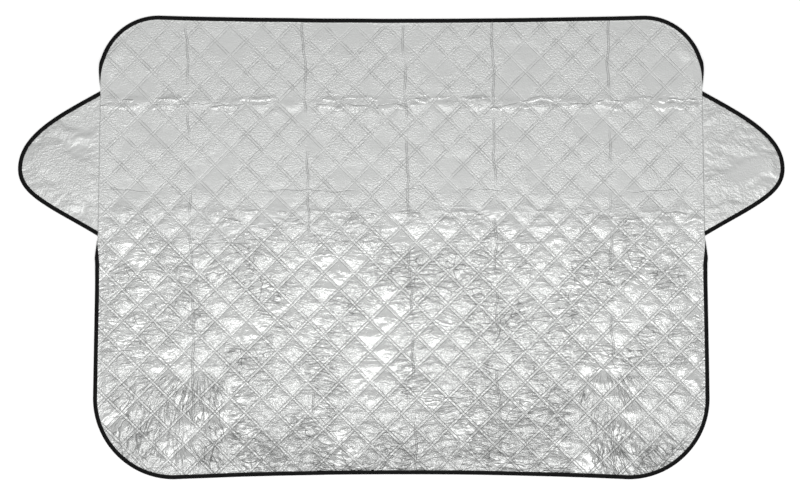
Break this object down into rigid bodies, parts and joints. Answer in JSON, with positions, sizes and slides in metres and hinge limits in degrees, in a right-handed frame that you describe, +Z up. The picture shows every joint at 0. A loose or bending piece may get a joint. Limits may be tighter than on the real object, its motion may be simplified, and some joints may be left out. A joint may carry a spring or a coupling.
{
  "type": "windshield frost cover",
  "caption": "Quilted silver film cover for a car windshield, a rounded rectangle with leaf-shaped side flaps and black folded tape round its edges, lying flat.",
  "frame": {"origin": "under the middle of the whole cover with its flaps, on the surface that it lies on", "axes": "+X to the right flap, +Y towards the roof edge, +Z up out of the silver side"},
  "size_m": [1.984, 1.2, 0.0081],
  "materials": {
    "silver_film": "aluminised film, satin and crinkled",
    "black_tape": "woven polyester tape, matte"
  },
  "bodies": {
    "root": {"quilted_panel": "silver_film", "left_flap": "silver_film", "right_flap": "silver_film", "panel_binding": "black_tape", "left_flap_binding": "black_tape", "right_flap_binding": "black_tape"}
  },
  "joints": []
}
